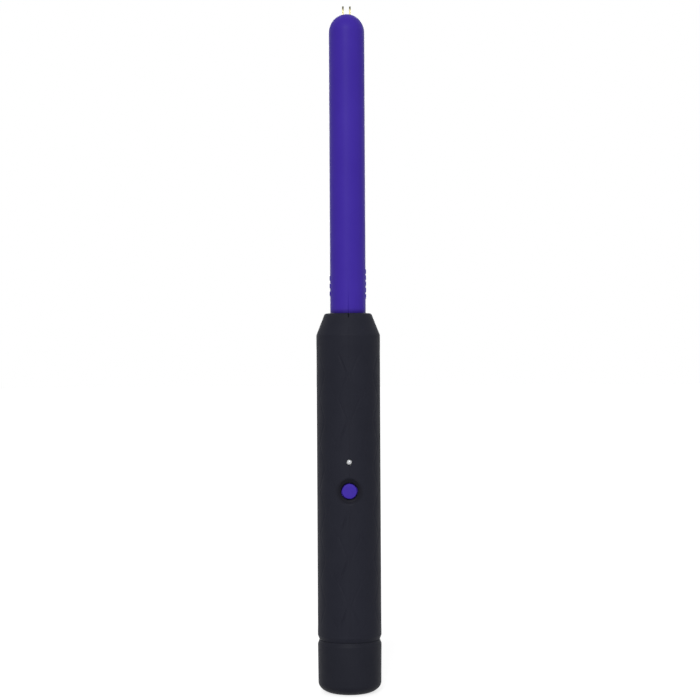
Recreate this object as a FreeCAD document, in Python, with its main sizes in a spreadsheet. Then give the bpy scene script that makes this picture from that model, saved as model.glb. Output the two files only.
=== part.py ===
import FreeCAD, Part
import math
import os
import re
import Sketcher

# A hand-held, battery-powered contact wand: a violet tube with two contact pins
# in its domed tip, a black two-shell handle with a push button and a lamp, and a
# screw cap that carries the contacts at the open end of the battery tube.
# Millimetres, +Z up, standing on its cap, with the button side facing -Y.

os.makedirs("parts", exist_ok=True)
doc = FreeCAD.newDocument("contact_wand")
Vector = FreeCAD.Vector

SIZES = {
    # handle, outside
    "handle_wall": 1.8,
    "handle_bottom": 29.6,
    "handle_top": 209.9,
    "shoulder_length": 12.0,
    "shoulder_top_radius": 12.9,
    "shoulder_fillet": 1.4,
    "top_wall": 2.0,
    "groove_depth": 0.9,
    "groove_flank": 2.3,
    "parting_gap": 0.2,
    # screw cap
    "cap_draft": 0.2,
    "cap_floor": 3.4,
    "cap_bottom_fillet": 7.2,
    "cap_inner_fillet": 1.6,
    "cap_wall": 1.65,
    "cap_boss_radius": 3.2,
    "cap_boss_height": 1.3,
    # tube and dome
    "tube_radius": 9.85,
    "tube_wall": 1.5,
    "tube_shoulder": 365.5,
    "dome_height": 10.3,
    "tube_tail": 3.8,
    "flange_radius": 13.0,
    "flange_thickness": 2.0,
    "flange_depth": 17.1,
    # contact pins and what holds them
    "pin_offset": 1.94,
    "pin_radius": 0.45,
    "pin_reach": 4.5,
    "pin_tail": 6.0,
    "pin_collar_radius": 0.85,
    "pin_collar_height": 1.0,
    "pin_hole_radius": 0.8,
    "holder_drop": 14.7,
    "holder_height": 8.0,
    "holder_rim": 2.1,
    "lead_radius": 1.1,
    "lead_ferrule_radius": 0.85,
    "lead_ferrule_height": 6.8,
    "spacer_thickness": 2.0,
    "spacer_low_rise": 31.0,
    "spacer_high_rise": 91.0,
    # webs inside the handle
    "web_thickness": 3.0,
    "web_bore_radius": 12.5,
    "collar_web_thickness": 1.6,
    "middle_web_drop": 8.7,
    "peg_radius": 0.7,
    "peg_length": 1.6,
    # battery tube
    "liner_wall": 1.0,
    "liner_bottom": 9.8,
    "liner_roof": 2.0,
    "liner_collar_height": 33.8,
    "liner_collar_width": 2.0,
    "liner_collar_reach": 0.9,
    "liner_fit": 0.25,
    "guide_width": 4.8,
    "guide_reach": 5.9,
    "guide_rise": 8.0,
    "key_slot_width": 4.6,
    "key_slot_height": 7.3,
    # cells
    "cell_radius": 7.1,
    "cell_length": 50.5,
    "cell_nub_radius": 2.75,
    "cell_nub_height": 1.0,
    "cell_edge": 0.5,
    "cell_gap": 0.2,
    # contact carrier and contacts
    "carrier_margin": 1.3,
    "carrier_thickness": 3.0,
    "carrier_boss_gap": 0.1,
    "carrier_screw_seat": 1.4,
    "key_width": 4.0,
    "key_sink": 0.2,
    "key_thickness": 2.4,
    "key_height": 9.0,
    "screw_radius": 1.25,
    "screw_head_radius": 2.6,
    "screw_head_height": 1.1,
    "screw_depth": 1.6,
    "bridge_margin": 4.6,
    "bridge_width": 7.0,
    "bridge_hole_radius": 3.2,
    "plate_thickness": 0.3,
    "spring_height": 3.6,
    "spring_wide_radius": 4.2,
    "spring_narrow_radius": 2.6,
    "spring_wire_radius": 0.35,
    "spring_turns": 2.5,
    "tab_width": 3.0,
    "tab_offset": 4.5,
    "tab_height": 3.2,
    "head_plate_width": 9.0,
    # circuit board
    "board_margin": 2.85,
    "board_thickness": 1.6,
    "board_front": 6.0,
    "board_length": 100.5,
    # button and switch
    "button_height": 112.5,
    "button_radius": 4.08,
    "button_face_sink": 0.35,
    "button_edge": 0.6,
    "button_flange_radius": 5.6,
    "button_flange_thickness": 1.0,
    "button_recess_radius": 6.8,
    "button_recess_depth": 0.85,
    "button_boss_radius": 6.6,
    "button_boss_face": 13.8,
    "button_travel": 1.2,
    "plunger_radius": 1.7,
    "plunger_length": 4.3,
    "switch_side": 6.2,
    "switch_depth": 3.5,
    # lamp
    "lamp_rise": 15.9,
    "lamp_radius": 1.5,
    "lamp_flange_radius": 1.9,
    "lamp_flange_thickness": 1.0,
    "lamp_boss_radius": 3.2,
    "lamp_boss_face": 13.4,
    "lamp_tip_sink": 0.1,
    "lamp_lead_radius": 0.25,
    "lamp_lead_offset": 1.27,
    # parts on the board
    "transformer_gap": 0.5,
    "core_width": 18.0,
    "core_depth": 11.0,
    "core_length": 15.0,
    "core_limb": 2.2,
    "core_leg": 5.2,
    "coil_width": 13.0,
    "coil_depth": 14.0,
    "module_rise": 2.9,
    "module_width": 22.0,
    "module_depth": 13.0,
    "module_clearance": 1.15,
    "module_edge": 1.5,
    "transistor_rise": 3.85,
    "transistor_width": 10.0,
    "transistor_depth": 4.4,
    "transistor_length": 9.0,
    "transistor_tab_thickness": 1.3,
    "transistor_tab_length": 5.5,
    "transistor_hole_radius": 1.8,
    "capacitor_drop": 7.5,
    "capacitor_radius": 3.15,
    "capacitor_length": 7.4,
    "resistor_drop": 16.2,
    "resistor_pitch": 3.4,
    "resistor_radius": 1.15,
    "resistor_length": 6.3,
    "resistor_span": 10.0,
    "axial_lead_radius": 0.3,
    "axial_lead_bend": 0.8,
    "diode_drop": 18.15,
    "diode_pitch": 5.5,
    "diode_radius": 1.35,
    "diode_length": 5.0,
    "diode_span": 10.0,
    "wire_radius": 0.7,
    "wire_bend": 3.5,
    "wire_landing_rise": 10.85,
    # clearances
    "slip": 0.1,
    "seat_gap": 0.05,
    "running": 0.3,
}
# Sizes that follow from the others: two cells side by side set the battery tube's
# radius, and that sets the handle's.
FOLLOWING = {
    "cell_spacing": "cell_radius * 2 + cell_gap",
    "liner_radius": "cell_spacing / 2 + cell_radius + running + liner_wall",
    "liner_bore": "liner_radius - liner_wall",
    "liner_collar_radius": "liner_radius + liner_collar_reach",
    "handle_bore": "liner_radius + liner_fit",
    "handle_radius": "handle_bore + handle_wall",
    "cap_base_radius": "handle_radius - cap_draft",
    "carrier_radius": "liner_radius - carrier_margin",
    "key_outer": "liner_radius - key_sink",
    "key_inner": "key_outer - key_thickness",
    "bridge_length": "cell_spacing + bridge_margin",
    "board_width": "(handle_bore - board_margin) * 2",
}
RESISTOR_COUNT = 3
DIODE_COUNT = 2

sheet = doc.addObject("Spreadsheet::Sheet", "sizes")
for row, (alias, size) in enumerate(SIZES.items(), start=1):
    sheet.set(f"A{row}", str(size))
    sheet.setAlias(f"A{row}", alias)
doc.recompute()

# Places that several pieces share, as formulas of the sheet's sizes.
SHOULDER_BOTTOM = "(handle_top - shoulder_length)"
SHOULDER_SLOPE = "((handle_radius - shoulder_top_radius) / shoulder_length)"
CAP_TOP = "(handle_bottom - parting_gap)"
CAP_BORE = "(handle_radius - cap_wall)"
TUBE_BORE = "(tube_radius - tube_wall)"
TIP = "(tube_shoulder + dome_height)"
FLANGE_TOP = "(handle_top - flange_depth)"
FLANGE_BOTTOM = f"({FLANGE_TOP} - flange_thickness)"
TUBE_BOTTOM = f"({FLANGE_BOTTOM} - tube_tail)"
HOLDER_BOTTOM = "(tube_shoulder - holder_drop)"
HOLDER_TOP = f"({HOLDER_BOTTOM} + holder_height)"
BOSS_TOP = "(cap_floor + cap_boss_height)"
CARRIER_BOTTOM = f"({BOSS_TOP} + carrier_boss_gap)"
CARRIER_TOP = f"({CARRIER_BOTTOM} + carrier_thickness)"
CELL_FOOT = f"({CARRIER_TOP} + seat_gap)"
RAISED_CELL_FOOT = f"({CARRIER_TOP} + spring_height)"
ROOF_UNDERSIDE = f"({RAISED_CELL_FOOT} + cell_length + seat_gap + plate_thickness)"
LINER_TOP = f"({ROOF_UNDERSIDE} + liner_roof)"
LOW_WEB = f"({LINER_TOP} + parting_gap + web_thickness / 2)"
HIGH_WEB = f"({LOW_WEB} + board_length)"
TRANSISTOR_BOTTOM = f"({LOW_WEB} + transistor_rise)"
TRANSISTOR_TOP = f"({TRANSISTOR_BOTTOM} + transistor_length + transistor_tab_length)"
TRANSFORMER_BOTTOM = f"({TRANSISTOR_TOP} + transformer_gap)"
HIGH_WEB_UNDERSIDE = f"({HIGH_WEB} - web_thickness / 2)"
MIDDLE_WEB = "(button_height - middle_web_drop)"
BOARD_BACK = "(board_thickness - board_front)"
LAMP_HEIGHT = "(button_height + lamp_rise)"
MODULE_BOTTOM = f"({LAMP_HEIGHT} + module_rise)"
MODULE_TOP = f"({HIGH_WEB_UNDERSIDE} - module_clearance)"
RESISTOR_HEIGHT = "(button_height - resistor_drop)"
CAPACITOR_HEIGHT = f"({RESISTOR_HEIGHT} - capacitor_drop)"
DIODE_HEIGHT = f"({HIGH_WEB_UNDERSIDE} - diode_drop)"

ALONG = {
    "z": FreeCAD.Rotation(),
    "-z": FreeCAD.Rotation(Vector(1, 0, 0), 180),
    "-y": FreeCAD.Rotation(Vector(1, 0, 0), 90),
    "x": FreeCAD.Rotation(Vector(0, 1, 0), 90),
    "z, seam aside": FreeCAD.Rotation(Vector(0, 0, 1), 45),
}


def bind(formula):
    """The formula with each name pointing at its cell in the sheet, or at what it follows."""

    def resolve(match):
        name = match.group()
        if name in FOLLOWING:
            return f"({bind(FOLLOWING[name])})"
        return f"sizes.{name}" if name in SIZES else name

    return re.sub(r"[a-z_]+", resolve, str(formula))


def value(formula):
    """The number that a formula of the sheet's sizes gives now."""
    return float(sheet.evalExpression(bind(formula)))


def place(piece, at, along="z"):
    """Puts a piece's own origin at a point, with its own Z axis along an axis."""
    piece.Placement = FreeCAD.Placement(Vector(), ALONG[along])
    for axis, formula in zip("xyz", at):
        piece.setExpression(f"Placement.Base.{axis}", bind(formula))
    return piece


def box(name, low, size):
    piece = doc.addObject("Part::Box", name)
    for side, formula in zip(("Length", "Width", "Height"), size):
        piece.setExpression(side, bind(formula))
    return place(piece, low)


def cylinder(name, at, radius, height, along="z"):
    piece = doc.addObject("Part::Cylinder", name)
    piece.setExpression("Radius", bind(radius))
    piece.setExpression("Height", bind(height))
    return place(piece, at, along)


def fuse(name, *pieces):
    joined = doc.addObject("Part::MultiFuse", name)
    joined.Shapes = list(pieces)
    return joined


def cut(name, base, *tools):
    remainder = doc.addObject("Part::Cut", name)
    remainder.Base = base
    remainder.Tool = tools[0] if len(tools) == 1 else fuse(f"{name}_tools", *tools)
    return remainder


def common(name, *pieces):
    shared = doc.addObject("Part::MultiCommon", name)
    shared.Shapes = list(pieces)
    return shared


def group(name, *pieces):
    """Separate solids that share one node."""
    together = doc.addObject("Part::Compound", name)
    together.Links = list(pieces)
    return together


def bent_wire(name, points, bend, radius):
    """A round wire along straight runs that meet in tangent arcs."""
    edges = []
    start = points[0]
    for corner, following in zip(points[1:-1], points[2:]):
        arriving = (corner - start).normalize()
        leaving = (following - corner).normalize()
        half_turn = arriving.getAngle(leaving) / 2
        setback = bend * math.tan(half_turn)
        inward = (leaving - arriving).normalize()
        middle = corner + inward * (bend / math.cos(half_turn) - bend)
        arc_start = corner - arriving * setback
        arc_end = corner + leaving * setback
        edges.append(Part.LineSegment(start, arc_start).toShape())
        edges.append(Part.Arc(arc_start, middle, arc_end).toShape())
        start = arc_end
    edges.append(Part.LineSegment(start, points[-1]).toShape())
    path = Part.Wire(edges)
    direction = (points[1] - points[0]).normalize()
    section = Part.Wire(Part.Circle(points[0], direction, radius).toShape())
    wire = doc.addObject("Part::Feature", name)
    wire.Shape = path.makePipeShell([section], True, False)
    return wire


def turned(name, outline, at=(0, 0, 0), along="z"):
    """A body turned about its own Z axis from an outline of (radius, height) formulas."""
    body = doc.addObject("PartDesign::Body", name)
    section = body.newObject("Sketcher::SketchObject", f"{name}_section")
    plane = next(part for part in body.Origin.OriginFeatures if part.Role == "XZ_Plane")
    section.AttachmentSupport = (plane, [""])
    section.MapMode = "FlatFace"
    corners = [Vector(value(radius), value(height), 0) for radius, height in outline]
    count = len(corners)
    for index in range(count):
        following = corners[(index + 1) % count]
        section.addGeometry(Part.LineSegment(corners[index], following), False)
    for index in range(count):
        following = (index + 1) % count
        section.addConstraint(Sketcher.Constraint("Coincident", index, 2, following, 1))
    for index, formulas in enumerate(outline):
        for direction, formula in zip(("DistanceX", "DistanceY"), formulas):
            number = section.addConstraint(
                Sketcher.Constraint(direction, -1, 1, index, 1, value(formula))
            )
            section.setExpression(f"Constraints[{number}]", bind(formula))
    solid = body.newObject("PartDesign::Revolution", f"{name}_turned")
    solid.Profile = section
    solid.ReferenceAxis = (section, ["V_Axis"])
    solid.Angle = 360
    doc.recompute()
    return place(body, at, along)


def round_rims(body, name, radius, *rims):
    """A fillet on a turned body's circular edges, each named by its (radius, height)."""
    solid = body.Tip
    wanted = [(value(rim), value(height)) for rim, height in rims]
    edges = []
    for number, edge in enumerate(solid.Shape.Edges, start=1):
        circle = edge.Curve
        if not isinstance(circle, Part.Circle):
            continue
        found = (circle.Radius, circle.Center.z)
        if any(abs(found[0] - rim) + abs(found[1] - height) < 0.001 for rim, height in wanted):
            edges.append(f"Edge{number}")
    fillet = body.newObject("PartDesign::Fillet", name)
    fillet.Base = (solid, edges)
    fillet.setExpression("Radius", bind(radius))
    doc.recompute()
    return fillet


def halves(whole, stem, height):
    """A whole moulding parted at the plane X = 0, as its left and right shells."""
    span = "handle_radius * 2"
    low = f"0 - {span}"
    sides = {"left": low, "right": "0"}
    return {
        side: common(
            f"{stem}_{side}",
            whole,
            box(f"{stem}_{side}_half", (start, low, "0"), (span, f"2 * {span}", height)),
        )
        for side, start in sides.items()
    }


def web(height, thickness, bore):
    """An inward ring on the handle's bore, met from above, as four outline corners."""
    top = f"{height} + {thickness} / 2"
    bottom = f"{height} - {thickness} / 2"
    return [("handle_bore", top), (bore, top), (bore, bottom), ("handle_bore", bottom)]


def handle():
    """Two black shells, with webs that hold the tube, the board and the battery tube."""
    tube_hole = "(tube_radius + slip)"
    collar_gap = "(flange_thickness / 2 + slip * 2 + collar_web_thickness / 2)"
    flange_middle = f"({FLANGE_TOP} - flange_thickness / 2)"
    shoulder_inside = f"(handle_bore - {SHOULDER_SLOPE} * (shoulder_length - top_wall))"
    groove_top = "(liner_collar_height + liner_collar_width + slip)"
    groove_bottom = "(liner_collar_height - slip)"
    groove_radius = "(liner_collar_radius + slip)"
    outline = [
        ("handle_bore", "handle_bottom"),
        ("handle_radius - groove_depth", "handle_bottom"),
        ("handle_radius", "handle_bottom + groove_flank"),
        ("handle_radius", SHOULDER_BOTTOM),
        ("shoulder_top_radius", "handle_top"),
        (tube_hole, "handle_top"),
        (tube_hole, "handle_top - top_wall"),
        (shoulder_inside, "handle_top - top_wall"),
        ("handle_bore", SHOULDER_BOTTOM),
        *web(f"{flange_middle} + {collar_gap}", "collar_web_thickness", tube_hole),
        *web(f"{flange_middle} - {collar_gap}", "collar_web_thickness", tube_hole),
        *web(HIGH_WEB, "web_thickness", "web_bore_radius"),
        *web(MIDDLE_WEB, "web_thickness", "web_bore_radius"),
        *web(LOW_WEB, "web_thickness", "web_bore_radius"),
        ("handle_bore", groove_top),
        (groove_radius, groove_top),
        (groove_radius, groove_bottom),
        ("handle_bore", groove_bottom),
    ]
    blank = turned("handle_blank", outline)
    round_rims(
        blank, "shoulder_round", "shoulder_fillet", ("shoulder_top_radius", "handle_top")
    )
    boss_root = "(handle_bore + seat_gap)"
    bossed = fuse(
        "handle_bossed",
        blank,
        cylinder(
            "button_boss",
            ("0", "0 - button_boss_face", "button_height"),
            "button_boss_radius",
            f"{boss_root} - button_boss_face",
            "-y",
        ),
        cylinder(
            "lamp_boss",
            ("0", "0 - lamp_boss_face", LAMP_HEIGHT),
            "lamp_boss_radius",
            f"{boss_root} - lamp_boss_face",
            "-y",
        ),
    )
    slot_width = "(board_width + slip * 2)"
    opened = cut(
        "handle_opened",
        bossed,
        cylinder(
            "button_bore",
            ("0", "0 - board_front", "button_height"),
            "button_radius + slip",
            "handle_radius",
            "-y",
        ),
        cylinder(
            "button_recess",
            ("0", "button_recess_depth - handle_radius", "button_height"),
            "button_recess_radius",
            "handle_radius",
            "-y",
        ),
        cylinder(
            "lamp_bore",
            ("0", "0 - board_front", LAMP_HEIGHT),
            "lamp_radius + slip",
            "handle_radius",
            "-y",
        ),
        box(
            "board_slot",
            (f"0 - {slot_width} / 2", "0 - board_front - slip", f"{LOW_WEB} - slip"),
            (slot_width, "board_thickness + slip * 2", "board_length + slip * 2"),
        ),
    )
    shells = halves(opened, "handle_half", "handle_top * 2")
    peg_row = "((handle_bore + web_bore_radius) / 2)"
    peg_heights = {"low": LOW_WEB, "middle": MIDDLE_WEB, "high": HIGH_WEB}
    pegs = []
    sockets = []
    for level, height in peg_heights.items():
        for side, row in {"front": f"0 - {peg_row}", "back": peg_row}.items():
            spot = f"{side}_{level}"
            pegs.append(
                cylinder(
                    f"peg_{spot}", ("0 - peg_length", row, height),
                    "peg_radius", "peg_length * 2", "x",
                )
            )
            sockets.append(
                cylinder(
                    f"socket_{spot}", ("0 - peg_length", row, height),
                    "peg_radius + slip", "peg_length * 2 + slip * 2", "x",
                )
            )
    return [
        fuse("handle_shell_left", shells["left"], *pegs),
        cut("handle_shell_right", shells["right"], *sockets),
    ]


def dome(name, radius, height):
    """The upper half of an ellipsoid on the tube's shoulder."""
    piece = doc.addObject("Part::Ellipsoid", name)
    piece.Angle1 = 0
    # The seam of the surface is turned away from the pins and from the parting plane.
    piece.setExpression("Radius1", bind(height))
    piece.setExpression("Radius2", bind(radius))
    piece.setExpression("Radius3", bind(radius))
    return place(piece, ("0", "0", "tube_shoulder"), "z, seam aside")


def pair(name, make):
    """The left and right copies of a piece, each made at its own side of X = 0."""
    return {side: make(f"{name}_{side}", sign) for side, sign in {"left": "-1", "right": "1"}.items()}


def tube():
    """Two violet shells with a domed tip, a flange at the foot and two inner ledges."""
    ledge_bore = f"({TUBE_BORE} - holder_rim)"
    ledge = "collar_web_thickness"
    low_ledge = f"({HOLDER_BOTTOM} - slip * 2 - {ledge})"
    high_ledge = f"({HOLDER_TOP} + slip * 2)"
    sleeve = turned(
        "tube_sleeve",
        [
            (TUBE_BORE, TUBE_BOTTOM),
            ("tube_radius", TUBE_BOTTOM),
            ("tube_radius", FLANGE_BOTTOM),
            ("flange_radius", FLANGE_BOTTOM),
            ("flange_radius", FLANGE_TOP),
            ("tube_radius", FLANGE_TOP),
            ("tube_radius", "tube_shoulder"),
            (TUBE_BORE, "tube_shoulder"),
            (TUBE_BORE, f"{high_ledge} + {ledge}"),
            (ledge_bore, f"{high_ledge} + {ledge}"),
            (ledge_bore, high_ledge),
            (TUBE_BORE, high_ledge),
            (TUBE_BORE, f"{low_ledge} + {ledge}"),
            (ledge_bore, f"{low_ledge} + {ledge}"),
            (ledge_bore, low_ledge),
            (TUBE_BORE, low_ledge),
        ],
    )
    tip = cut(
        "tube_tip",
        dome("dome_outside", "tube_radius", "dome_height"),
        dome("dome_inside", TUBE_BORE, "dome_height - tube_wall"),
    )
    holes = pair(
        "pin_hole",
        lambda name, sign: cylinder(
            name,
            (f"{sign} * pin_offset", "0", f"{high_ledge} + {ledge}"),
            "pin_hole_radius",
            "dome_height * 2",
        ),
    )
    whole = cut("tube_whole", fuse("tube_closed", sleeve, tip), *holes.values())
    shells = halves(whole, "tube_shell", "tube_shoulder * 2")
    return list(shells.values())


def electrodes():
    """The holder in the tip, its two pins, and the leads that feed them."""
    pin_bottom = f"({HOLDER_BOTTOM} - pin_tail)"
    pin_top = f"({TIP} + pin_reach)"
    holder_blank = cylinder(
        "holder_blank", ("0", "0", HOLDER_BOTTOM), f"{TUBE_BORE} - slip * 2", "holder_height"
    )
    bores = pair(
        "holder_bore",
        lambda name, sign: cylinder(
            name,
            (f"{sign} * pin_offset", "0", f"{HOLDER_BOTTOM} - holder_height"),
            "pin_radius + seat_gap",
            "holder_height * 3",
        ),
    )
    holder = cut("electrode_holder", holder_blank, *bores.values())

    def pin(name, sign):
        length = f"({pin_top} - {pin_bottom})"
        collar_top = "(pin_tail - seat_gap)"
        collar_bottom = f"({collar_top} - pin_collar_height)"
        body = turned(
            name,
            [
                ("0", "0"),
                ("pin_radius", "0"),
                ("pin_radius", collar_bottom),
                ("pin_collar_radius", collar_bottom),
                ("pin_collar_radius", collar_top),
                ("pin_radius", collar_top),
                ("pin_radius", length),
                ("0", length),
            ],
            (f"{sign} * pin_offset", "0", pin_bottom),
        )
        round_rims(body, f"{name}_round", "pin_radius * 0.6", ("pin_radius", length))
        return body

    def lead(name, sign):
        ferrule_top = f"({HOLDER_BOTTOM} - pin_collar_height - seat_gap * 2)"
        ferrule_bottom = f"({ferrule_top} - lead_ferrule_height)"
        length = f"({ferrule_bottom} - {MODULE_TOP} - seat_gap)"
        rise = f"({ferrule_top} - {MODULE_TOP} - seat_gap)"
        socket_floor = f"({pin_bottom} - {MODULE_TOP} - seat_gap * 2)"
        return turned(
            name,
            [
                ("0", "0"),
                ("lead_radius", "0"),
                ("lead_radius", length),
                ("lead_ferrule_radius", length),
                ("lead_ferrule_radius", rise),
                ("pin_radius + seat_gap", rise),
                ("pin_radius + seat_gap", socket_floor),
                ("0", socket_floor),
            ],
            (f"{sign} * pin_offset", "0", f"{MODULE_TOP} + seat_gap"),
        )

    def spacer(name, rise):
        disc = cylinder(
            f"{name}_disc",
            ("0", "0", f"{SHOULDER_BOTTOM} + {rise}"),
            f"{TUBE_BORE} - slip * 2",
            "spacer_thickness",
        )
        holes = pair(
            f"{name}_hole",
            lambda hole, sign: cylinder(
                hole,
                (f"{sign} * pin_offset", "0", SHOULDER_BOTTOM),
                "lead_radius + seat_gap",
                f"{rise} * 2",
            ),
        )
        return cut(name, disc, *holes.values())

    return [
        holder,
        *pair("contact_pin", pin).values(),
        *pair("hv_lead", lead).values(),
        spacer("lead_spacer_lower", "spacer_low_rise"),
        spacer("lead_spacer_upper", "spacer_high_rise"),
    ]


def end_cap():
    """The screw cap, with a boss in its floor for the carrier's swivel screw."""
    screw_hole = "(screw_radius + seat_gap)"
    screw_hole_floor = "(cap_floor - screw_depth)"
    cap = turned(
        "end_cap",
        [
            ("0", "0"),
            ("cap_base_radius", "0"),
            ("handle_radius", f"{CAP_TOP} - groove_flank"),
            ("handle_radius - groove_depth", CAP_TOP),
            (CAP_BORE, CAP_TOP),
            (CAP_BORE, "cap_floor"),
            ("cap_boss_radius", "cap_floor"),
            ("cap_boss_radius", BOSS_TOP),
            (screw_hole, BOSS_TOP),
            (screw_hole, screw_hole_floor),
            ("0", screw_hole_floor),
        ],
    )
    round_rims(cap, "cap_bottom_round", "cap_bottom_fillet", ("cap_base_radius", "0"))
    round_rims(cap, "cap_inner_round", "cap_inner_fillet", (CAP_BORE, "cap_floor"))
    return cap


def carrier_screw():
    """The shoulder screw that the contact carrier swivels on."""
    seat = f"({CARRIER_TOP} - carrier_screw_seat - plate_thickness + seat_gap)"
    foot = "(cap_floor - screw_depth + seat_gap)"
    shank = f"({seat} - {foot})"
    head_top = f"({shank} + screw_head_height)"
    slot_depth = "screw_head_height / 2"
    blank = turned(
        "carrier_screw_blank",
        [
            ("0", "0"),
            ("screw_radius", "0"),
            ("screw_radius", shank),
            ("screw_head_radius", shank),
            ("screw_head_radius", head_top),
            ("0", head_top),
        ],
        ("0", "0", foot),
    )
    slot = box(
        "carrier_screw_slot",
        ("0 - screw_head_radius * 2", "0 - plate_thickness", f"{foot} + {head_top} - {slot_depth}"),
        ("screw_head_radius * 4", "plate_thickness * 2", "screw_head_height"),
    )
    return cut("carrier_screw", blank, slot)


def contact_carrier():
    """A disc that swivels in the cap, with two keys that slide in the battery tube's slots."""
    seat = f"({CARRIER_TOP} - carrier_screw_seat - plate_thickness)"
    disc = cylinder("carrier_disc", ("0", "0", CARRIER_BOTTOM), "carrier_radius", "carrier_thickness")
    key_depth = "(key_outer - key_inner)"
    key_size = ("key_width", key_depth, f"{CARRIER_TOP} + key_height - {CARRIER_BOTTOM}")
    keys = [
        box("carrier_key_front", ("0 - key_width / 2", "0 - key_outer", CARRIER_BOTTOM), key_size),
        box("carrier_key_back", ("0 - key_width / 2", "key_inner", CARRIER_BOTTOM), key_size),
    ]
    plate_seat_length = "(bridge_length + slip * 2)"
    plate_seat_width = "(bridge_width + slip * 2)"
    return cut(
        "contact_carrier",
        fuse("carrier_keyed", disc, *keys),
        cylinder(
            "carrier_bore", ("0", "0", "0"), "screw_radius + seat_gap * 2", CARRIER_TOP
        ),
        cylinder(
            "carrier_counterbore", ("0", "0", seat),
            "screw_head_radius + running", "carrier_thickness",
        ),
        box(
            "bridge_seat",
            (
                f"0 - {plate_seat_length} / 2",
                f"0 - {plate_seat_width} / 2",
                f"{CARRIER_TOP} - plate_thickness",
            ),
            (plate_seat_length, plate_seat_width, "carrier_thickness"),
        ),
    )


def coil_spring(name, at, turned_over=False):
    """A conical contact spring, wide at the plate that it stands on, as one swept wire."""
    wire = value("spring_wire_radius")
    wide = value("spring_wide_radius")
    narrow = value("spring_narrow_radius")
    climb = value("spring_height - spring_wire_radius * 2 - seat_gap * 2")
    quarters = int(value("spring_turns") * 4)
    middle = Vector(0, 0, wire + value("seat_gap"))

    def point(quarter):
        share = quarter / quarters
        radius = wide + (narrow - wide) * share
        ray = FreeCAD.Rotation(Vector(0, 0, 1), 90 * quarter).multVec(Vector(radius, 0, 0))
        return middle + ray + Vector(0, 0, climb * share)

    path = Part.Wire(
        [
            Part.Arc(point(index), point(index + 0.5), point(index + 1)).toShape()
            for index in range(quarters)
        ]
    )
    start = path.Edges[0]
    direction = start.tangentAt(start.FirstParameter)
    section = Part.Wire(Part.Circle(point(0), direction, wire).toShape())
    spring = doc.addObject("Part::Feature", name)
    spring.Shape = path.makePipeShell([section], True, False)
    return place(spring, at, "-z" if turned_over else "z")


def contacts():
    """The plates and springs at both ends of the cells."""
    bridge = cut(
        "bridge_plate",
        box(
            "bridge_blank",
            ("0 - bridge_length / 2", "0 - bridge_width / 2", f"{CARRIER_TOP} - plate_thickness"),
            ("bridge_length", "bridge_width", "plate_thickness"),
        ),
        cylinder("bridge_hole", ("0", "0", "0"), "bridge_hole_radius", "cell_length"),
    )
    plate_bottom = f"({ROOF_UNDERSIDE} - plate_thickness)"

    def head_plate(name, sign):
        plate = box(
            f"{name}_flat",
            (
                f"{sign} * cell_spacing / 2 - head_plate_width / 2",
                "0 - head_plate_width / 2",
                plate_bottom,
            ),
            ("head_plate_width", "head_plate_width", "plate_thickness"),
        )
        tab = box(
            f"{name}_tab",
            (
                f"{sign} * cell_spacing / 2 - tab_width / 2",
                "tab_offset - plate_thickness",
                plate_bottom,
            ),
            ("tab_width", "plate_thickness", "plate_thickness + liner_roof + tab_height"),
        )
        return fuse(name, plate, tab)

    return [
        bridge,
        *pair("head_plate", head_plate).values(),
        coil_spring("bridge_spring", ("cell_spacing / 2", "0", CARRIER_TOP)),
        coil_spring("head_spring", ("0 - cell_spacing / 2", "0", plate_bottom), True),
    ]


def battery_tube():
    """The liner that holds two cells side by side, open at the cap, keyed for the carrier."""
    neck_end = "liner_bottom"
    collar_top = "(liner_collar_height + liner_collar_width)"
    blank = turned(
        "liner_blank",
        [
            ("liner_bore", neck_end),
            ("liner_radius", neck_end),
            ("liner_radius", "liner_collar_height"),
            ("liner_collar_radius", "liner_collar_height"),
            ("liner_collar_radius", collar_top),
            ("liner_radius", collar_top),
            ("liner_radius", LINER_TOP),
            ("0", LINER_TOP),
            ("0", ROOF_UNDERSIDE),
            ("liner_bore", ROOF_UNDERSIDE),
        ],
    )
    guide_bottom = f"({neck_end} + guide_rise)"
    guide_root = "(liner_bore + liner_wall / 2)"
    guide_size = (
        "guide_width",
        f"{guide_root} - guide_reach",
        f"{ROOF_UNDERSIDE} + liner_roof / 2 - {guide_bottom}",
    )
    ribbed = fuse(
        "liner_ribbed",
        blank,
        box("guide_front", ("0 - guide_width / 2", f"0 - {guide_root}", guide_bottom), guide_size),
        box("guide_back", ("0 - guide_width / 2", "guide_reach", guide_bottom), guide_size),
    )
    slot_span = "(liner_radius + handle_wall)"
    slot_depth = f"({slot_span} - key_inner + running)"
    slot_size = ("key_slot_width", slot_depth, "key_slot_height + running")
    slot_low = f"({neck_end} - running)"
    tab_slots = pair(
        "tab_slot",
        lambda name, sign: box(
            name,
            (
                f"{sign} * cell_spacing / 2 - tab_width / 2 - slip",
                "tab_offset - plate_thickness - slip",
                f"{ROOF_UNDERSIDE} - liner_roof",
            ),
            ("tab_width + slip * 2", "plate_thickness + slip * 2", "liner_roof * 3"),
        ),
    )
    return cut(
        "battery_tube",
        ribbed,
        box("slot_front", ("0 - key_slot_width / 2", f"0 - {slot_span}", slot_low), slot_size),
        box(
            "slot_back",
            ("0 - key_slot_width / 2", "key_inner - running", slot_low),
            slot_size,
        ),
        *tab_slots.values(),
    )


def cell(name, at, along):
    """A round dry cell standing on its flat end, with its contact nub on top."""
    case_length = "(cell_length - cell_nub_height)"
    body = turned(
        name,
        [
            ("0", "0"),
            ("cell_radius", "0"),
            ("cell_radius", case_length),
            ("cell_nub_radius", case_length),
            ("cell_nub_radius", "cell_length"),
            ("0", "cell_length"),
        ],
        at,
        along,
    )
    round_rims(body, f"{name}_rims", "cell_edge", ("cell_radius", "0"), ("cell_radius", case_length))
    return body


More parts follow.
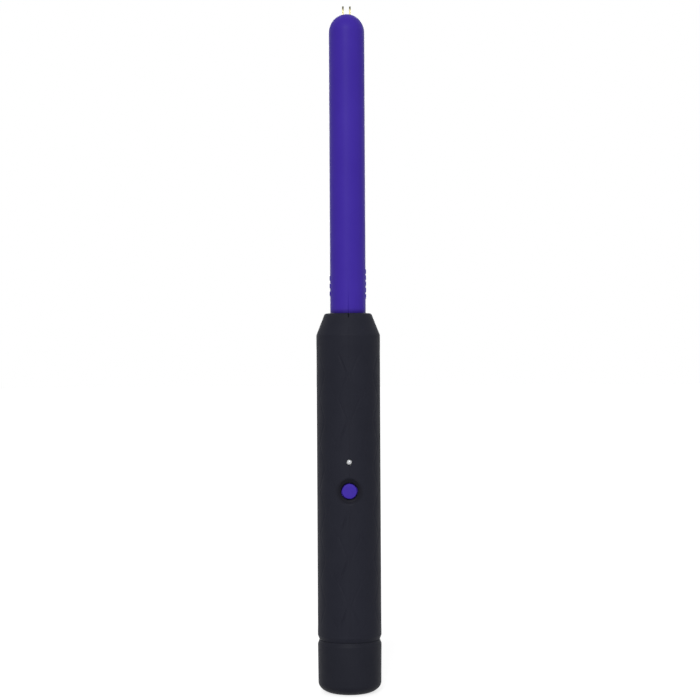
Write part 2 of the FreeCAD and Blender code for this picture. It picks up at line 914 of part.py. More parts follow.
def cells():
    return [
        cell("cell_left", ("0 - cell_spacing / 2", "0", f"{CELL_FOOT} + cell_length"), "-z"),
        cell("cell_right", ("cell_spacing / 2", "0", RAISED_CELL_FOOT), "z"),
    ]


def button():
    """The violet push button, its keeper flange behind the wall, and the switch under it."""
    flange_front = "(button_boss_face - running)"
    flange_back = f"({flange_front} - button_flange_thickness)"
    face = "(handle_radius - button_face_sink)"
    cap = turned(
        "button_cap",
        [
            ("0", "0"),
            ("button_flange_radius", "0"),
            ("button_flange_radius", "button_flange_thickness"),
            ("button_radius", "button_flange_thickness"),
            ("button_radius", f"{face} - {flange_back}"),
            ("0", f"{face} - {flange_back}"),
        ],
        ("0", f"0 - {flange_back}", "button_height"),
        "-y",
    )
    round_rims(cap, "button_rim", "button_edge", ("button_radius", f"{face} - {flange_back}"))
    plunger_back = f"({flange_back} - seat_gap - plunger_length)"
    plunger = cylinder(
        "switch_plunger",
        ("0", f"0 - {plunger_back}", "button_height"),
        "plunger_radius",
        "plunger_length",
        "-y",
    )
    switch_back = "(board_front + seat_gap)"
    switch = cut(
        "switch_body",
        box(
            "switch_case",
            (
                "0 - switch_side / 2",
                f"0 - {switch_back} - switch_depth",
                "button_height - switch_side / 2",
            ),
            ("switch_side", "switch_depth", "switch_side"),
        ),
        cylinder(
            "switch_well",
            ("0", f"button_travel + slip * 2 - {plunger_back}", "button_height"),
            "plunger_radius + slip",
            "switch_depth * 2",
            "-y",
        ),
    )
    return [cap, plunger, switch]


def lamp():
    """The indicator lamp and its two leads down to the board."""
    flange_front = "(lamp_boss_face - seat_gap)"
    flange_back = f"({flange_front} - lamp_flange_thickness)"
    dome_base = f"(handle_radius - lamp_tip_sink - lamp_radius - {flange_back})"
    lens = turned(
        "lamp_barrel",
        [
            ("0", "0"),
            ("lamp_flange_radius", "0"),
            ("lamp_flange_radius", "lamp_flange_thickness"),
            ("lamp_radius", "lamp_flange_thickness"),
            ("lamp_radius", dome_base),
            ("0", dome_base),
        ],
        ("0", f"0 - {flange_back}", LAMP_HEIGHT),
        "-y",
    )
    tip = doc.addObject("Part::Sphere", "lamp_tip")
    tip.setExpression("Radius", bind("lamp_radius"))
    place(tip, ("0", f"0 - {flange_back} - {dome_base}", LAMP_HEIGHT), "-y")
    leads = pair(
        "lamp_lead",
        lambda name, sign: cylinder(
            name,
            (f"{sign} * lamp_lead_offset", f"{BOARD_BACK} + running", LAMP_HEIGHT),
            "lamp_lead_radius",
            f"{flange_back} - seat_gap + {BOARD_BACK} + running",
            "-y",
        ),
    )
    return [fuse("led", lens, tip), group("led_leads", *leads.values())]


def board():
    """The circuit board, held in slots in the handle's webs, with holes for the lamp's leads."""
    blank = box(
        "board_blank",
        ("0 - board_width / 2", "0 - board_front", LOW_WEB),
        ("board_width", "board_thickness", "board_length"),
    )
    holes = pair(
        "board_hole",
        lambda name, sign: cylinder(
            name,
            (f"{sign} * lamp_lead_offset", "0", LAMP_HEIGHT),
            "lamp_lead_radius + slip",
            "board_front * 2",
            "-y",
        ),
    )
    return cut("circuit_board", blank, *holes.values())


def transformer():
    """A step-up transformer: a shell core with two windows, and the coil on its middle leg."""
    middle = f"({BOARD_BACK} + seat_gap + coil_depth / 2)"
    window = "((core_width - core_leg) / 2 - core_limb)"
    window_size = (window, "core_depth * 2", "core_length - core_limb * 2")
    core = cut(
        "transformer_core",
        box(
            "core_blank",
            ("0 - core_width / 2", f"{middle} - core_depth / 2", TRANSFORMER_BOTTOM),
            ("core_width", "core_depth", "core_length"),
        ),
        box(
            "window_left",
            (
                f"0 - core_leg / 2 - {window}",
                f"{middle} - core_depth",
                f"{TRANSFORMER_BOTTOM} + core_limb",
            ),
            window_size,
        ),
        box(
            "window_right",
            ("core_leg / 2", f"{middle} - core_depth", f"{TRANSFORMER_BOTTOM} + core_limb"),
            window_size,
        ),
    )
    coil_bottom = f"({TRANSFORMER_BOTTOM} + core_limb + slip)"
    coil = cut(
        "transformer_coil",
        box(
            "coil_blank",
            ("0 - coil_width / 2", f"{middle} - coil_depth / 2", coil_bottom),
            ("coil_width", "coil_depth", "core_length - core_limb * 2 - slip * 2"),
        ),
        box(
            "coil_bore",
            ("0 - core_leg / 2 - slip", f"{middle} - core_depth / 2 - slip", TRANSFORMER_BOTTOM),
            ("core_leg + slip * 2", "core_depth + slip * 2", "core_length"),
        ),
    )
    return [core, coil]


def module():
    """The potted high-voltage block on the back of the board."""
    block = box(
        "module_block",
        ("0 - module_width / 2", f"{BOARD_BACK} + seat_gap", MODULE_BOTTOM),
        ("module_width", "module_depth", f"{MODULE_TOP} - {MODULE_BOTTOM}"),
    )
    doc.recompute()
    upright = [
        number
        for number, edge in enumerate(block.Shape.Edges, start=1)
        if abs(edge.tangentAt(edge.FirstParameter).z) > 0.9
    ]
    rounded = doc.addObject("Part::Fillet", "hv_module")
    rounded.Base = block
    edge_radius = value("module_edge")
    rounded.Edges = [(number, edge_radius, edge_radius) for number in upright]
    return rounded


def transistor():
    """The drive transistor, flat on the back of the board, tab up."""
    back = f"({BOARD_BACK} + seat_gap)"
    package = box(
        "transistor_package",
        ("0 - transistor_width / 2", back, TRANSISTOR_BOTTOM),
        ("transistor_width", "transistor_depth", "transistor_length"),
    )
    tab_bottom = f"({TRANSISTOR_BOTTOM} + transistor_length)"
    tab = box(
        "transistor_tab",
        ("0 - transistor_width / 2", back, tab_bottom),
        ("transistor_width", "transistor_tab_thickness", "transistor_tab_length"),
    )
    hole = cylinder(
        "transistor_hole",
        ("0", "transistor_depth", f"{tab_bottom} + transistor_tab_length / 2"),
        "transistor_hole_radius",
        "board_front * 2",
        "-y",
    )
    return cut("drive_transistor", fuse("transistor_whole", package, tab), hole)


def axial_part(name, height, radius, length, span):
    """A small two-lead part lying across the front of the board on its bent leads."""
    centre = f"(0 - board_front - seat_gap - {radius})"
    body = cylinder(f"{name}_body", (f"0 - {length} / 2", centre, height), radius, length, "x")
    side = value(f"{span} / 2")
    depth = value(centre)
    level = value(height)
    board_face = value("0 - board_front - seat_gap")
    route = [
        Vector(-side, board_face, level),
        Vector(-side, depth, level),
        Vector(side, depth, level),
        Vector(side, board_face, level),
    ]
    lead = bent_wire(
        f"{name}_lead", route, value("axial_lead_bend"), value("axial_lead_radius")
    )
    return fuse(name, body, lead)


def small_parts():
    """The storage capacitor, and the rows of resistors and diodes on the board's front."""
    capacitor = turned(
        "storage_capacitor",
        [
            ("0", "0"),
            ("capacitor_radius", "0"),
            ("capacitor_radius", "capacitor_length"),
            ("0", "capacitor_length"),
        ],
        ("0", "0 - board_front - seat_gap", CAPACITOR_HEIGHT),
        "-y",
    )
    round_rims(
        capacitor, "capacitor_rim", "cell_edge", ("capacitor_radius", "capacitor_length")
    )
    rows = {
        "resistor": (RESISTOR_COUNT, RESISTOR_HEIGHT),
        "diode": (DIODE_COUNT, DIODE_HEIGHT),
    }
    grouped = [
        group(
            f"{kind}s",
            *(
                axial_part(
                    f"{kind}_{index + 1}",
                    f"({first} + {index} * {kind}_pitch)",
                    f"{kind}_radius",
                    f"{kind}_length",
                    f"{kind}_span",
                )
                for index in range(count)
            ),
        )
        for kind, (count, first) in rows.items()
    ]
    return [capacitor, *grouped]


def supply_wires():
    """The wires from the battery tube's two tabs to the back of the board."""

    def wire(name, sign):
        side = float(sign) * value("cell_spacing / 2")
        run = value("tab_offset + seat_gap + wire_radius")
        foot = value(f"{LINER_TOP} + seat_gap * 2")
        top = value(f"{LOW_WEB} + wire_landing_rise")
        route = [
            Vector(side, run, foot),
            Vector(side, run, top),
            Vector(side, value(f"{BOARD_BACK} + seat_gap"), top),
        ]
        return bent_wire(name, route, value("wire_bend"), value("wire_radius"))

    return [wire("supply_wire_black", "-1"), wire("supply_wire_red", "1")]


nodes = [
    *handle(),
    *tube(),
    *electrodes(),
    end_cap(),
    carrier_screw(),
    contact_carrier(),
    *contacts(),
    battery_tube(),
    *cells(),
    *button(),
    *lamp(),
    board(),
    *transformer(),
    module(),
    transistor(),
    *small_parts(),
    *supply_wires(),
]
doc.recompute()

faults = [
    f"{piece.Name}: {', '.join(piece.State)}"
    for piece in doc.Objects
    if {"Invalid", "Error"} & set(piece.State)
]
for node in nodes:
    if node.Shape.isNull() or not node.Shape.isValid() or not node.Shape.Solids:
        faults.append(f"{node.Name}: no valid solid")
if faults:
    raise RuntimeError("; ".join(faults))

for node in nodes:
    node.Label = node.Name
    node.Shape.exportStep(f"parts/{node.Label}.step")
    box_of = node.Shape.BoundBox
    print(
        f"{node.Label}: {len(node.Shape.Solids)} solid(s), {node.Shape.Volume:.1f} mm3, "
        f"x {box_of.XMin:.2f}..{box_of.XMax:.2f} y {box_of.YMin:.2f}..{box_of.YMax:.2f} "
        f"z {box_of.ZMin:.2f}..{box_of.ZMax:.2f}"
    )
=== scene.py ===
import math

import bmesh
import bpy
import numpy as np
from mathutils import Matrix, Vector


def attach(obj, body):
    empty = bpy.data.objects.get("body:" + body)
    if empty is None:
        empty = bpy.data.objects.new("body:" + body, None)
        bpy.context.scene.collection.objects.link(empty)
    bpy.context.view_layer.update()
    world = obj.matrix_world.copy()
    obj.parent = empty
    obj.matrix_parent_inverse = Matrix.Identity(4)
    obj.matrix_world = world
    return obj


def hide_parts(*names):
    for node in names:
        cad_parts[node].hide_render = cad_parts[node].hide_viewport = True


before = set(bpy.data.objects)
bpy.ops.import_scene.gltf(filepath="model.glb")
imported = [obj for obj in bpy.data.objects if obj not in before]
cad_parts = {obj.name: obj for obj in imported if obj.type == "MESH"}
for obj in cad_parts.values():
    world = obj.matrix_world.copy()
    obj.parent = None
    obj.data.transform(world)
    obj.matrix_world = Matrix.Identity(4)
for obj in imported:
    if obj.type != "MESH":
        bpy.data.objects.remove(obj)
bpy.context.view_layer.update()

# A hand-held contact wand, dressed over its CAD frame. Lengths are written in
# millimetres and turned into metres where a mesh is made.
MM = 0.001


# Materials

def colour(red, green, blue):
    """A colour written as 0 to 255, as the shader wants it."""
    channels = [part / 255 for part in (red, green, blue)]
    linear = [
        part / 12.92 if part <= 0.04045 else ((part + 0.055) / 1.055) ** 2.4
        for part in channels
    ]
    return (*linear, 1.0)


def add(tree, kind, links=None, **settings):
    """A node, with its sockets and settings by name, and what feeds its sockets."""
    made = tree.nodes.new(kind)
    for name, value in settings.items():
        socket = made.inputs.get(name.replace("_", " "))
        if socket is None:
            setattr(made, name, value)
        else:
            socket.default_value = value
    for name, source in (links or {}).items():
        tree.links.new(source, made.inputs[name])
    return made


def blank(name):
    """A new material, with its node tree and its shader."""
    made = bpy.data.materials.new(name)
    made.use_nodes = True
    tree = made.node_tree
    return made, tree, tree.nodes["Principled BSDF"]


def noise(tree, size):
    """Noise whose features are about size millimetres across, as a factor."""
    place = add(tree, "ShaderNodeTexCoord").outputs["Object"]
    made = add(
        tree, "ShaderNodeTexNoise", {"Vector": place},
        Scale=1 / (size * MM), Detail=3.0, Roughness=0.55,
    )
    return made.outputs["Fac"]


def between(tree, factor, low, high, start=0.35, end=0.65):
    """A number that runs from low to high as the factor runs from start to end."""
    made = add(tree, "ShaderNodeMapRange", {"Value": factor}, clamp=True)
    for name, value in {"From Min": start, "From Max": end, "To Min": low, "To Max": high}.items():
        made.inputs[name].default_value = value
    return made.outputs["Result"]


def blend(tree, factor, first, second):
    """A colour between two, each one a colour or another node's output."""
    made = add(tree, "ShaderNodeMix", {"Factor": factor}, data_type="RGBA")
    colours = [socket for socket in made.inputs if socket.type == "RGBA"]
    for socket, value in zip(colours, (first, second)):
        if isinstance(value, tuple):
            socket.default_value = value
        else:
            tree.links.new(value, socket)
    return next(socket for socket in made.outputs if socket.type == "RGBA")


def bump(tree, shader, *layers):
    """Bumps stacked on the shader, each one a height, and its depth in millimetres."""
    below = None
    for height, depth in layers:
        links = {"Height": height}
        if below is not None:
            links["Normal"] = below
        made = add(tree, "ShaderNodeBump", links, Strength=1.0, Distance=depth * MM)
        below = made.outputs["Normal"]
    tree.links.new(below, shader.inputs["Normal"])


def near(tree, place, inner, outer):
    """1 within a distance of a place, in millimetres, and 0 beyond a greater one."""
    here = add(tree, "ShaderNodeTexCoord").outputs["Object"]
    away = add(tree, "ShaderNodeVectorMath", {0: here}, operation="DISTANCE")
    away.inputs[1].default_value = [part * MM for part in place]
    return between(tree, away.outputs["Value"], 1.0, 0.0, inner * MM, outer * MM)


def surface(
    name, main, other, patch=9.0, rough=(0.4, 0.5), grain=((0.35, 0.004),),
    specular=0.5, metallic=0.0,
):
    """A moulded, painted or metal surface: mottled colour, uneven gloss and a fine grain.

    The patch is the size of the mottling, and each layer of grain a size and a depth, all
    in millimetres.
    """
    made, tree, shader = blank(name)
    tree.links.new(
        blend(tree, between(tree, noise(tree, patch), 0.0, 1.0), main, other),
        shader.inputs["Base Color"],
    )
    tree.links.new(
        between(tree, noise(tree, patch * 0.4), *rough), shader.inputs["Roughness"]
    )
    bump(tree, shader, *[(noise(tree, size), depth) for size, depth in grain])
    shader.inputs["Metallic"].default_value = metallic
    shader.inputs["Specular IOR Level"].default_value = specular
    return made


def height_of(tree, axis="Z"):
    """The surface's height, or its place along another axis, in metres."""
    place = add(tree, "ShaderNodeTexCoord").outputs["Object"]
    return add(tree, "ShaderNodeSeparateXYZ", {"Vector": place}).outputs[axis]


def paint_in_shade(made, share_of, tone):
    """Blends painted shade, a darker colour, into a material, as much as the share made in its
    tree says.
    """
    tree = made.node_tree
    base = tree.nodes["Principled BSDF"].inputs["Base Color"]
    below = base.links[0].from_socket
    tree.links.new(blend(tree, share_of(tree), below, tone), base)
    return made


soft_black = surface(
    "soft_black", colour(35, 36, 45), colour(37, 38, 47), patch=14,
    rough=(0.52, 0.58), grain=((0.3, 0.002), (3.0, 0.006)), specular=0.06,
)
paint_in_shade(  # painted shade in the recess round the button
    soft_black, lambda tree: near(tree, (0, -16.2, 112.5), 5.8, 7.8), colour(27, 27, 34)
)
cap_black = surface(
    "cap_black", colour(33, 34, 42), colour(35, 36, 44), patch=12,
    rough=(0.50, 0.56), grain=((0.3, 0.002), (3.0, 0.006)), specular=0.06,
)
violet = surface(
    "violet_plastic", colour(63, 42, 158), colour(66, 45, 162), patch=26,
    rough=(0.40, 0.48), grain=((0.9, 0.003), (6.0, 0.010)), specular=0.08,
)
paint_in_shade(  # painted shade for the contact shadow at the tube's foot, where it goes into the handle
    violet, lambda tree: between(tree, height_of(tree), 1.0, 0.0, 0.2100, 0.2124),
    colour(38, 22, 104),
)
violet_bright = surface(
    "violet_button_plastic", colour(64, 44, 160), colour(67, 47, 164), patch=5,
    rough=(0.34, 0.42), grain=((0.3, 0.003),), specular=0.09,
)
grey_liner = surface(
    "liner_plastic", colour(52, 53, 58), colour(58, 59, 63), patch=8,
    rough=(0.4, 0.5), grain=((0.4, 0.006),),
)
white_insulator = surface(
    "white_insulator", colour(222, 220, 213), colour(213, 210, 202), patch=5,
    rough=(0.35, 0.45), grain=((0.4, 0.004),),
)
nickel = surface(
    "nickel", colour(196, 192, 184), colour(182, 178, 170), patch=2,
    rough=(0.18, 0.32), grain=((0.25, 0.003),), metallic=1.0,
)
steel = surface(
    "steel", colour(176, 178, 182), colour(160, 162, 166), patch=2,
    rough=(0.22, 0.36), grain=((0.2, 0.003),), metallic=1.0,
)
red_sleeve = surface(
    "red_silicone", colour(168, 34, 30), colour(150, 28, 26), patch=4, rough=(0.4, 0.5),
)
black_sleeve = surface(
    "black_silicone", colour(30, 30, 32), colour(38, 38, 40), patch=4, rough=(0.4, 0.5),
)
epoxy_black = surface(
    "black_epoxy", colour(28, 28, 30), colour(34, 34, 35), patch=1.5,
    rough=(0.5, 0.62), grain=((0.12, 0.006),),
)
capacitor_sleeve = surface(
    "capacitor_sleeve", colour(24, 34, 62), colour(28, 40, 70), patch=3,
    rough=(0.24, 0.32), grain=((0.6, 0.004),),
)
potting = surface(
    "potting", colour(30, 34, 48), colour(36, 40, 54), patch=4,
    rough=(0.3, 0.45), grain=((1.4, 0.02), (0.3, 0.004)),
)
ferrite = surface(
    "ferrite", colour(46, 45, 46), colour(56, 55, 55), patch=0.9,
    rough=(0.6, 0.75), grain=((0.15, 0.01),),
)


# Heights in metres between which the pins turn dark olive, and between which they turn rough.
TIP_DARKENING_START = 0.3773
TIP_DARKENING_END = 0.3791
ROUGHENING_END = 0.3793


def brass_pin():
    """Pale brass, darker olive towards the tip."""
    made, tree, shader = blank("contact_brass")
    worn = noise(tree, 0.5)
    base = blend(tree, between(tree, worn, 0.0, 1.0), colour(226, 214, 160), colour(205, 192, 128))
    tip = blend(tree, between(tree, worn, 0.0, 1.0), colour(62, 58, 36), colour(92, 88, 58))
    share = between(tree, height_of(tree), 0.0, 1.0, TIP_DARKENING_START, TIP_DARKENING_END)
    tree.links.new(blend(tree, share, base, tip), shader.inputs["Base Color"])
    tree.links.new(
        between(tree, height_of(tree), 0.22, 0.42, TIP_DARKENING_START, ROUGHENING_END),
        shader.inputs["Roughness"],
    )
    shader.inputs["Metallic"].default_value = 1.0
    bump(tree, shader, (noise(tree, 0.2), 0.004))
    return made


def cell_case():
    """Plain grey shrink wrap on a dry cell."""
    made, tree, shader = blank("cell_wrap")
    mottle = noise(tree, 3)
    grey = blend(tree, between(tree, mottle, 0.0, 1.0), colour(88, 92, 100), colour(96, 100, 108))
    tree.links.new(grey, shader.inputs["Base Color"])
    tree.links.new(between(tree, noise(tree, 1.2), 0.22, 0.34), shader.inputs["Roughness"])
    bump(tree, shader, (noise(tree, 0.8), 0.006), (noise(tree, 6), 0.02))
    return made


def laminate():
    """Green glass-epoxy with faint copper runs under the mask."""
    made, tree, shader = blank("board_laminate")
    place = add(tree, "ShaderNodeTexCoord").outputs["Object"]
    runs = add(tree, "ShaderNodeTexBrick", {"Vector": place}, Scale=1 / (6 * MM))
    runs.inputs["Mortar Size"].default_value = 0.04
    mask = blend(tree, noise(tree, 2), colour(22, 74, 46), colour(28, 84, 54))
    copper = blend(tree, noise(tree, 2), colour(40, 106, 66), colour(48, 112, 70))
    tree.links.new(blend(tree, runs.outputs["Fac"], mask, copper), shader.inputs["Base Color"])
    tree.links.new(between(tree, noise(tree, 1), 0.3, 0.42), shader.inputs["Roughness"])
    bump(tree, shader, (runs.outputs["Fac"], 0.02), (noise(tree, 0.4), 0.003))
    return made


def winding():
    """Enamelled copper wire, laid in close turns."""
    made, tree, shader = blank("coil_wire")
    place = add(tree, "ShaderNodeTexCoord").outputs["Object"]
    turns = add(tree, "ShaderNodeTexWave", {"Vector": place}, bands_direction="Z")
    turns.inputs["Scale"].default_value = 1 / (1.2 * MM)
    turns.inputs["Distortion"].default_value = 0.6
    lacquer = blend(tree, turns.outputs["Fac"], colour(116, 52, 22), colour(196, 106, 52))
    tree.links.new(lacquer, shader.inputs["Base Color"])
    tree.links.new(between(tree, noise(tree, 0.6), 0.25, 0.4), shader.inputs["Roughness"])
    shader.inputs["Metallic"].default_value = 0.6
    bump(tree, shader, (turns.outputs["Fac"], 0.06))
    return made


def resistor_film():
    """A tan body with plain colour bands across it."""
    made, tree, shader = blank("resistor_body")
    along = height_of(tree, "X")
    body = blend(tree, noise(tree, 0.6), colour(196, 168, 122), colour(184, 154, 108))
    bands = add(
        tree, "ShaderNodeTexWave",
        {"Vector": add(tree, "ShaderNodeTexCoord").outputs["Object"]}, bands_direction="X",
    )
    bands.inputs["Scale"].default_value = 1 / (8.8 * MM)
    stripe = between(tree, bands.outputs["Fac"], 0.0, 1.0, 0.86, 0.9)
    striped = blend(tree, stripe, body, colour(98, 52, 30))
    wire = between(tree, add(tree, "ShaderNodeMath", {0: along}, operation="ABSOLUTE").outputs[0],
                   0.0, 1.0, 0.0031, 0.0032)
    tree.links.new(blend(tree, wire, striped, colour(186, 186, 184)), shader.inputs["Base Color"])
    tree.links.new(wire, shader.inputs["Metallic"])
    tree.links.new(between(tree, noise(tree, 0.5), 0.25, 0.4), shader.inputs["Roughness"])
    bump(tree, shader, (noise(tree, 0.3), 0.004))
    return made


def lens():
    """Clear, slightly milky epoxy."""
    made, tree, shader = blank("lamp_lens")
    haze = noise(tree, 0.8)
    tree.links.new(
        blend(tree, between(tree, haze, 0.0, 1.0), colour(238, 240, 242), colour(226, 228, 232)),
        shader.inputs["Base Color"],
    )
    tree.links.new(between(tree, noise(tree, 0.5), 0.06, 0.14), shader.inputs["Roughness"])
    shader.inputs["Transmission Weight"].default_value = 0.2
    shader.inputs["IOR"].default_value = 1.5
    bump(tree, shader, (noise(tree, 0.6), 0.002))
    return made


brass = brass_pin()
cell_wrap = cell_case()
board_laminate = laminate()
coil_wire = winding()
resistor_body = resistor_film()
lamp_lens = lens()
cup_metal = surface(
    "lamp_cup", colour(226, 226, 224), colour(206, 206, 206), patch=0.5,
    rough=(0.18, 0.3), grain=((0.15, 0.003),), metallic=1.0,
)
chip = surface(
    "lamp_chip", colour(120, 118, 108), colour(140, 138, 124), patch=0.2, rough=(0.3, 0.4),
)

FINISHES = {
    "electrode_holder": white_insulator,
    "contact_pin_left": brass,
    "contact_pin_right": brass,
    "hv_lead_left": red_sleeve,
    "hv_lead_right": black_sleeve,
    "lead_spacer_lower": white_insulator,
    "lead_spacer_upper": white_insulator,
    "carrier_screw": steel,
    "contact_carrier": grey_liner,
    "bridge_plate": nickel,
    "head_plate_left": nickel,
    "head_plate_right": nickel,
    "bridge_spring": nickel,
    "head_spring": nickel,
    "battery_tube": grey_liner,
    "cell_left": cell_wrap,
    "cell_right": cell_wrap,
    "switch_plunger": epoxy_black,
    "switch_body": epoxy_black,
    "led_leads": steel,
    "circuit_board": board_laminate,
    "transformer_core": ferrite,
    "transformer_coil": coil_wire,
    "hv_module": potting,
    "drive_transistor": epoxy_black,
    "storage_capacitor": capacitor_sleeve,
    "resistors": resistor_body,
    "diodes": epoxy_black,
    "supply_wire_black": black_sleeve,
    "supply_wire_red": red_sleeve,
}
for name, made in FINISHES.items():
    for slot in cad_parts[name].material_slots:
        slot.material = made


# Mesh making

def outline(corners):
    """A closed line through corners of (radius, height, rounding, spacing of the next run)."""
    arc_step = 9
    groups = []
    for index, (radius, height, rounding, _) in enumerate(corners):
        point = np.array((radius, height), float)
        arriving = np.array(corners[index - 1][:2], float) - point
        leaving = np.array(corners[(index + 1) % len(corners)][:2], float) - point
        arriving /= np.linalg.norm(arriving)
        leaving /= np.linalg.norm(leaving)
        if not rounding:
            groups.append([point])
            continue
        half = math.acos(float(arriving @ leaving)) / 2
        towards = (arriving + leaving) / np.linalg.norm(arriving + leaving)
        centre = point + towards * rounding / math.sin(half)
        first = point + arriving * rounding / math.tan(half) - centre
        last = point + leaving * rounding / math.tan(half) - centre
        turn = math.pi - 2 * half
        steps = max(3, int(math.degrees(turn) / arc_step))
        groups.append([
            centre + (
                math.sin(turn * (1 - step / steps)) * first + math.sin(turn * step / steps) * last
            ) / math.sin(turn)
            for step in range(steps + 1)
        ])
    line = []
    for index, group in enumerate(groups):
        line.extend(group)
        spacing = corners[index][3]
        if spacing:
            start, end = group[-1], groups[(index + 1) % len(groups)][0]
            pieces = max(1, int(np.linalg.norm(end - start) / spacing))
            line.extend(start + (end - start) * step / pieces for step in range(1, pieces))
    return np.array(line)


# Corners closer than this, in metres, are one.
CLOSE = 1e-6


def piece(name, points, faces, sharp=32.0):
    """An object from points in millimetres, closed and shaded smooth up to the sharp angle."""
    mesh = bpy.data.meshes.new(name)
    mesh.from_pydata([tuple(point) for point in np.asarray(points) * MM], [], faces)
    work = bmesh.new()
    work.from_mesh(mesh)
    bmesh.ops.remove_doubles(work, verts=work.verts, dist=CLOSE)
    bmesh.ops.dissolve_degenerate(work, edges=work.edges, dist=CLOSE / 2)
    bmesh.ops.recalc_face_normals(work, faces=work.faces)
    work.to_mesh(mesh)
    work.free()
    made = bpy.data.objects.new(name, mesh)
    bpy.context.collection.objects.link(made)
    shade(mesh, sharp)
    return made


def shade(mesh, sharp):
    """Shades a mesh smooth, except over edges beyond the sharp angle, in degrees."""
    mesh.shade_smooth()
    mesh.set_sharp_from_angle(angle=math.radians(sharp))


def dress(made, material, slot, body, *nodes):
    """Gives a piece its material, and puts it on its body in the nodes' place. The slot is not
    used.
    """
    made.data.materials.clear()
    made.data.materials.append(material)
    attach(made, body)
    if nodes:
        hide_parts(*nodes)
    return made


def grid_faces(rows, columns, around):
    """Quads between rows that close on themselves, over columns that may do so too."""
    wide = columns if around else columns - 1
    return [
        (
            row * columns + column,
            row * columns + (column + 1) % columns,
            ((row + 1) % rows) * columns + (column + 1) % columns,
            ((row + 1) % rows) * columns + column,
        )
        for row in range(rows)
        for column in range(wide)
    ]


def spun(name, corners, columns=96, axis="z", at=(0, 0, 0), sharp=32.0):
    """A piece turned about an axis. Its outline's ends lie on the axis or close on themselves."""
    line = outline(corners)
    turn = np.linspace(0, 2 * math.pi, columns, endpoint=False)
    radius = line[:, 0][:, None]
    height = np.repeat(line[:, 1][:, None], columns, axis=1)
    across = radius * np.cos(turn)[None, :]
    over = radius * np.sin(turn)[None, :]
    if axis == "z":
        points = np.stack((across, over, height), axis=2)
    else:
        points = np.stack((across, -height, over), axis=2)
    points = points.reshape(-1, 3) + np.array(at, float)
    return piece(name, points, grid_faces(len(line), columns, True), sharp)


def half_shell(name, corners, side, columns, seam, depth, relief=None, sharp=32.0):
    """One half of a turned shell, parted at X = 0, with its outer seam edge cut back by seam."""
    line = outline(corners)
    radius, height = line[:, 0], line[:, 1]
    ease = np.array([seam(r, z) for r, z in line])
    ease = np.minimum(ease, radius * 0.5)
    start = np.where(radius > 1e-6, np.arcsin(ease / np.maximum(radius, 1e-6)), 0.0)
    share = np.linspace(0, 1, columns)[None, :]
    angle = start[:, None] + share * (math.pi - 2 * start[:, None])
    reach = np.repeat(radius[:, None], columns, axis=1)
    if relief is not None:
        reach = reach + relief(np.degrees(angle) * side, height[:, None], radius[:, None])
    across = side * reach * np.sin(angle)
    along = -reach * np.cos(angle)
    inner = [reach[:, column] - depth * ease for column in (0, -1)]
    inner = [edge[:, None] for edge in inner]
    across = np.hstack((np.zeros_like(inner[0]), across, np.zeros_like(inner[1])))
    along = np.hstack((-inner[0], along, inner[1]))
    level = np.repeat(height[:, None], columns + 2, axis=1)
    points = np.stack((across, along, level), axis=2).reshape(-1, 3)
    rows, wide = len(line), columns + 2
    faces = grid_faces(rows, wide, False)
    faces.append(tuple(row * wide for row in range(rows)))
    faces.append(tuple(row * wide + wide - 1 for row in reversed(range(rows))))
    return piece(name, points, faces, sharp)


def carve(made, *cutters, sharp=32.0):
    """Takes the cutters out of a piece, and removes them."""
    for cutter in cutters:
        step = made.modifiers.new("carve", "BOOLEAN")
        step.operation = "DIFFERENCE"
        step.solver = "EXACT"
        step.object = cutter
    bpy.context.view_layer.update()
    result = bpy.data.meshes.new_from_object(
        made.evaluated_get(bpy.context.evaluated_depsgraph_get())
    )
    made.modifiers.clear()
    made.data = result
    for cutter in cutters:
        bpy.data.objects.remove(cutter)
    shade(result, sharp)
    return made


def smooth(value, low, high):
    """0 below low, 1 above high, and an even curve between them."""
    share = np.clip((value - low) / (high - low), 0.0, 1.0)
    return share * share * (3 - 2 * share)


# Handle

HANDLE = 17.65
HANDLE_BORE = 15.85
HANDLE_BOTTOM = 29.6
HANDLE_TOP = 209.9
SHOULDER_FOOT = 197.9
TOP_UNDERSIDE = 207.9
TUBE_HOLE = 9.95

# The grip's pattern: angles in degrees, lengths in millimetres.
CHAIN_SPACING = 45.0
CHAIN_TOP = 188.3
OVAL_HEIGHT = 25.14
OVAL_HALF_WIDTH = 15.75
OVAL_BLUNTNESS = 0.03
LEAN = 0.93
RIDGE_HEIGHT = 0.06
RIDGE_INNER_WIDTH = 1.1
RIDGE_OUTER_WIDTH = 0.42
GROOVE_DEPTH = 0.46
GROOVE_OFFSET = 0.62
GROOVE_WIDTH = 0.50
FAINTEST = 0.22
MARK_ANGLE = 9.0
MARK_HEIGHT = 7.0
DEEP_MARKS = (
    (-11.0, 178.5), (-13.0, 146.0), (-13.0, 96.0), (-12.5, 70.5), (15.5, 45.5), (-11.5, 41.5)
)


def pressed(angle, height):
    """How deep the pattern is pressed: faint at most places, and clear at a few."""
    folded = np.mod(angle + CHAIN_SPACING, 2 * CHAIN_SPACING) - CHAIN_SPACING
    share = sum(
        np.exp(-(((folded - place) / MARK_ANGLE) ** 2) - ((height - level) / MARK_HEIGHT) ** 2)
        for place, level in DEEP_MARKS
    )
    return FAINTEST + (1 - FAINTEST) * np.clip(share, 0.0, 1.0)


